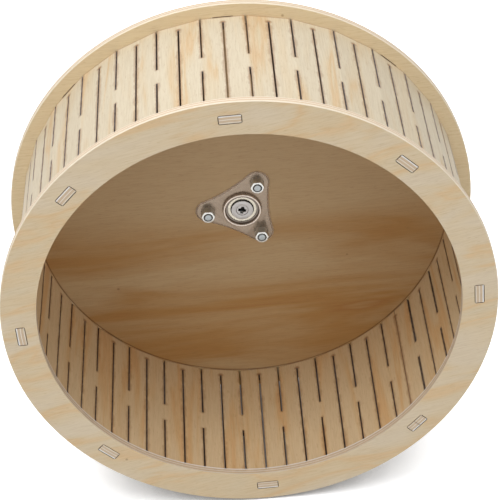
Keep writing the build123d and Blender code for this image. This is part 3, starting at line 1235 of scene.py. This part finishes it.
# %% Profile of one turn
thread_start = 0.7 * mm
bpy.ops.object.select_all(action="DESELECT")
bpy.ops.mesh.primitive_plane_add(size=pitch)
ridge = bpy.context.object
ridge.name = "stud_thread"
bpy.ops.object.mode_set(mode="EDIT")
bpy.ops.mesh.delete(type="ONLY_FACE")
bpy.ops.object.mode_set(mode="OBJECT")
corners = (
    (root, thread_start, 0),
    (crest, thread_start + 0.44 * pitch, 0),
    (crest, thread_start + 0.56 * pitch, 0),
    (root, thread_start + pitch, 0),
)
order = [0, 1, 3, 2]  # a plane numbers its corners row by row
for index, place in zip(order, corners):
    ridge.data.vertices[index].co = place
bpy.ops.object.mode_set(mode="EDIT")
bpy.ops.mesh.select_all(action="DESELECT")
bpy.ops.object.mode_set(mode="OBJECT")
for edge in ridge.data.edges:
    edge.select = set(edge.vertices) == {order[0], order[3]}
bpy.ops.object.mode_set(mode="EDIT")
bpy.ops.mesh.select_mode(type="EDGE")
bpy.ops.mesh.delete(type="EDGE")
bpy.ops.mesh.select_mode(type="VERT")
bpy.ops.object.mode_set(mode="OBJECT")

# %% Thread carried round
turns = int((stud_end - 2 * pitch) / pitch)
steps_per_turn = 40
thread = ridge.modifiers.new("thread", "SCREW")
thread.axis = "Y"
thread.angle = 2 * pi
thread.screw_offset = pitch
thread.iterations = turns
thread.steps = steps_per_turn
thread.render_steps = steps_per_turn
thread.use_merge_vertices = True
thread.merge_threshold = 0.001 * mm  # smaller than any edge of the thread
bpy.ops.object.modifier_apply(modifier=thread.name)
bpy.ops.object.mode_set(mode="EDIT")
bpy.ops.mesh.select_all(action="SELECT")
bpy.ops.mesh.normals_make_consistent(inside=False)
bpy.ops.object.mode_set(mode="OBJECT")
for piece in (core, ridge):
    bpy.ops.object.select_all(action="DESELECT")
    piece.select_set(True)
    bpy.context.view_layer.objects.active = piece
    bpy.ops.object.shade_smooth_by_angle(angle=radians(35))
    piece.data.materials.clear()
    piece.data.materials.append(bolt_zinc)
    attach(piece, "axle")
print("thread turns:", turns, "faces:", len(ridge.data.polygons))

# %% [markdown]
# ## Floor, backdrop and light
# The photograph is cut out on white. A white floor just under the drum keeps a soft shadow, and
# what the camera and the steel see of the background is white too, without adding light.
# One broad lamp above the open side gives the top of the drum its brightness and leaves the
# inside in shade. Two weaker ones, left and right in front, reach the side walls inside, a fourth
# lights the back, and the sky adds the rest from all round.

# %% Floor
floor_gap = 1 * mm
floor_width = 6.0
bpy.ops.mesh.primitive_plane_add(size=floor_width, location=(0, 0, ring_low.z - floor_gap))
floor = bpy.context.object
floor.name = "floor"
floor_paper, floor_tree = new_material("white_backdrop_paper")
floor_path = add(floor_tree, "LightPath")
floor_seen = add(
    floor_tree,
    "Math",
    {0: floor_path.outputs["Is Camera Ray"], 1: floor_path.outputs["Is Glossy Ray"]},
    operation="MAXIMUM",
)
paper_grain = add(floor_tree, "TexNoise", {"Scale": 800.0, "Detail": 2.0})
paper_tone = add(
    floor_tree,
    "ValToRGB",
    {"Fac": paper_grain.outputs[0]},
    stops=[(0.2, "CDCDCD"), (0.8, "D1D1D1")],
)
paper = add(floor_tree, "BsdfDiffuse", {"Color": paper_tone.outputs[0]})
contact_reach = 70 * mm
contact = add(floor_tree, "AmbientOcclusion", {"Distance": contact_reach}, samples=8)
glow_strength = add(
    floor_tree, "MapRange", {0: contact.outputs["AO"], 1: 0.2, 2: 0.7, 3: 0.0, 4: 0.9}
)
glow = add(
    floor_tree,
    "Emission",
    {"Color": hex_colour("FFFFFF"), "Strength": glow_strength.outputs[0]},
)
paper_and_glow = add(floor_tree, "AddShader", {0: paper.outputs[0], 1: glow.outputs[0]})
floor_mix = add(
    floor_tree,
    "MixShader",
    {0: floor_seen.outputs[0], 1: paper.outputs[0], 2: paper_and_glow.outputs[0]},
)
add(floor_tree, "OutputMaterial", {"Surface": floor_mix.outputs[0]})
floor.data.materials.append(floor_paper)
print("floor at z mm:", round(floor.location.z / mm, 1))

# %% Sky
sky = bpy.data.worlds.new("studio_sky")
sky.use_nodes = True
sky.node_tree.nodes.clear()
sky_path = add(sky.node_tree, "LightPath")
sky_seen = add(
    sky.node_tree,
    "Math",
    {0: sky_path.outputs["Is Camera Ray"], 1: sky_path.outputs["Is Glossy Ray"]},
    operation="MAXIMUM",
)
sky_light = add(sky.node_tree, "Background", {"Color": hex_colour("F4F6FA"), "Strength": 0.5})
sky_white = add(sky.node_tree, "Background", {"Color": hex_colour("FFFFFF"), "Strength": 1.0})
sky_mix = add(
    sky.node_tree,
    "MixShader",
    {0: sky_seen.outputs[0], 1: sky_light.outputs[0], 2: sky_white.outputs[0]},
)
add(sky.node_tree, "OutputWorld", {"Surface": sky_mix.outputs[0]})
bpy.context.scene.world = sky
print("sky strength:", sky_light.inputs["Strength"].default_value)

# %% Lamps
lamps = (
    ("top_softbox", (-0.25, -0.42, 1.5), 1.1, 19.0),
    ("left_fill", (-1.3, -1.4, 0.6), 1.4, 5.5),
    ("right_fill", (1.3, -1.4, 0.6), 1.4, 5.5),
    ("rear_fill", (-0.1, 2.2, 0.9), 2.0, 14.0),
)
for name, lamp_place, size, power in lamps:
    bpy.ops.object.light_add(type="AREA", location=lamp_place)
    lamp = bpy.context.object
    lamp.name = name
    lamp.data.size = size
    lamp.data.energy = power
    lamp.rotation_euler = (-Vector(lamp_place)).to_track_quat("-Z", "Y").to_euler()
    print(name, "power", power)

# %% View settings
bpy.context.scene.view_settings.view_transform = "Standard"
